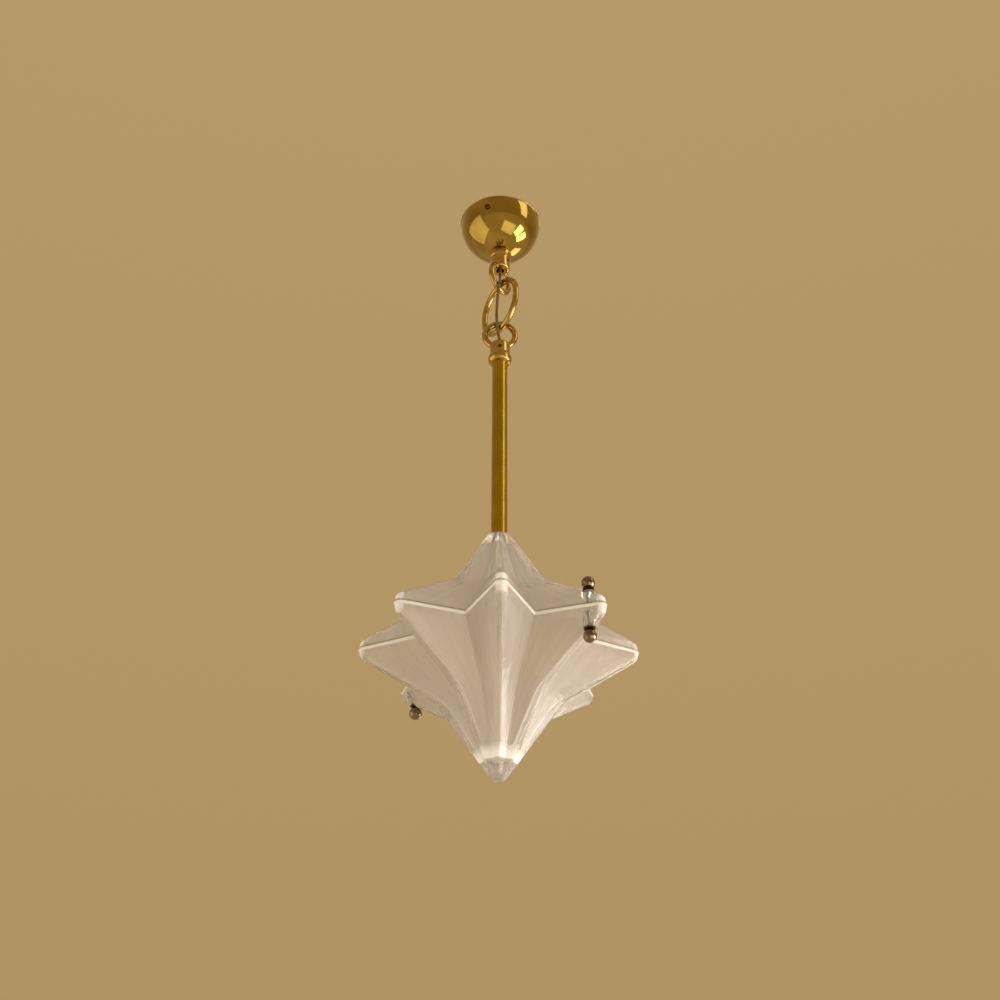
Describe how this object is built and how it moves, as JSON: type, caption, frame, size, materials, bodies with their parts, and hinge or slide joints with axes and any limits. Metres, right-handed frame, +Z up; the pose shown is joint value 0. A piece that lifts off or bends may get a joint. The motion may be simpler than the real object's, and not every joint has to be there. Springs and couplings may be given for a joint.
{
  "type": "moravian star pendant",
  "caption": "Eight-armed pressed-glass star pendant light on a brass stem, hung by a link from a brass ceiling dome.",
  "frame": {"origin": "centre of the ceiling plate's upper face, against the ceiling", "axes": "+Z up, -Y front, one arm of the star points at -Y"},
  "size_m": [0.26, 0.26, 0.6783],
  "materials": {
    "brass": "polished, dulled by age",
    "zinc_steel": "zinc plated",
    "terminal_brass": "bright",
    "terminal_plastic": "moulded",
    "flex_sheath": "smooth sheath",
    "fibre": "pressed fibre",
    "pressed_glass": "frosted pressed glass",
    "nickel": "nickel plated",
    "holder_plastic": "moulded",
    "cap_metal": "rolled",
    "opal_glass": "opal",
    "lamp_black": "glassy",
    "clear_glass": "clear"
  },
  "bodies": {
    "ceiling": {"ceiling_plate": "zinc_steel", "terminal_block": "terminal_plastic", "terminal_screws": "terminal_brass", "terminal_block_screw": "zinc_steel", "canopy": "brass", "canopy_screws": "brass", "canopy_washer": "zinc_steel", "canopy_nut": "brass", "canopy_nipple": "brass", "canopy_bush": "terminal_plastic", "canopy_loop": "brass", "canopy_loop_screw": "brass", "flex_canopy": "flex_sheath", "flex_span_upper": "flex_sheath"},
    "link": {"chain_link": "brass"},
    "stem": {"stem_loop": "brass", "stem_loop_screw": "brass", "stem_top_nipple": "brass", "stem_top_bush": "brass", "stem_tube": "brass", "stem_bottom_bush": "brass", "stem_bottom_nipple": "brass", "neck_washer_top": "fibre", "upper_star": "pressed_glass", "neck_washer_bottom": "fibre", "neck_plate": "zinc_steel", "neck_nut": "brass", "lampholder_cap": "holder_plastic", "lampholder_skirt": "holder_plastic", "lampholder_core": "holder_plastic", "lampholder_shell": "cap_metal", "lampholder_contact": "cap_metal", "clamp_screws": "nickel", "upper_seat_washers": "fibre", "flex_span_lower": "flex_sheath", "flex_stem": "flex_sheath"},
    "lower_star": {"lower_star": "pressed_glass", "lower_seat_washers": "fibre"},
    "ball_nut_right": {"ball_nut_right": "nickel"},
    "ball_nut_left": {"ball_nut_left": "nickel"},
    "lamp": {"lamp_glass": "opal_glass", "lamp_cap": "cap_metal", "lamp_insulator": "lamp_black", "lamp_contact": "cap_metal", "lamp_stem": "clear_glass"}
  },
  "joints": [
    {"name": "link_swing", "type": "hinge", "parent": "ceiling", "child": "link", "pos_m": [0, 0, -0.09949], "axis": [0.5878, 0.809, 0], "range_deg": [-20, 20], "deforming": ["flex_span_upper"]},
    {"name": "stem_swing", "type": "hinge", "parent": "link", "child": "stem", "pos_m": [0, 0, -0.15629], "axis": [0.5446, -0.8387, 0], "range_deg": [-20, 20], "deforming": ["flex_span_lower"]},
    {"name": "lower_star_drop", "type": "slide", "parent": "stem", "child": "lower_star", "axis": [0, 0, -1], "range_m": [0, 0.16]},
    {"name": "ball_nut_right_spin", "type": "hinge", "parent": "lower_star", "child": "ball_nut_right", "pos_m": [0.07849, -0.07849, -0.57398], "axis": [0, 0, 1], "continuous": true},
    {"name": "ball_nut_left_spin", "type": "hinge", "parent": "lower_star", "child": "ball_nut_left", "pos_m": [-0.07849, 0.07849, -0.57398], "axis": [0, 0, 1], "continuous": true},
    {"name": "lamp_turn", "type": "hinge", "parent": "stem", "child": "lamp", "pos_m": [0, 0, -0.49799], "axis": [0, 0, 1], "continuous": true}
  ]
}
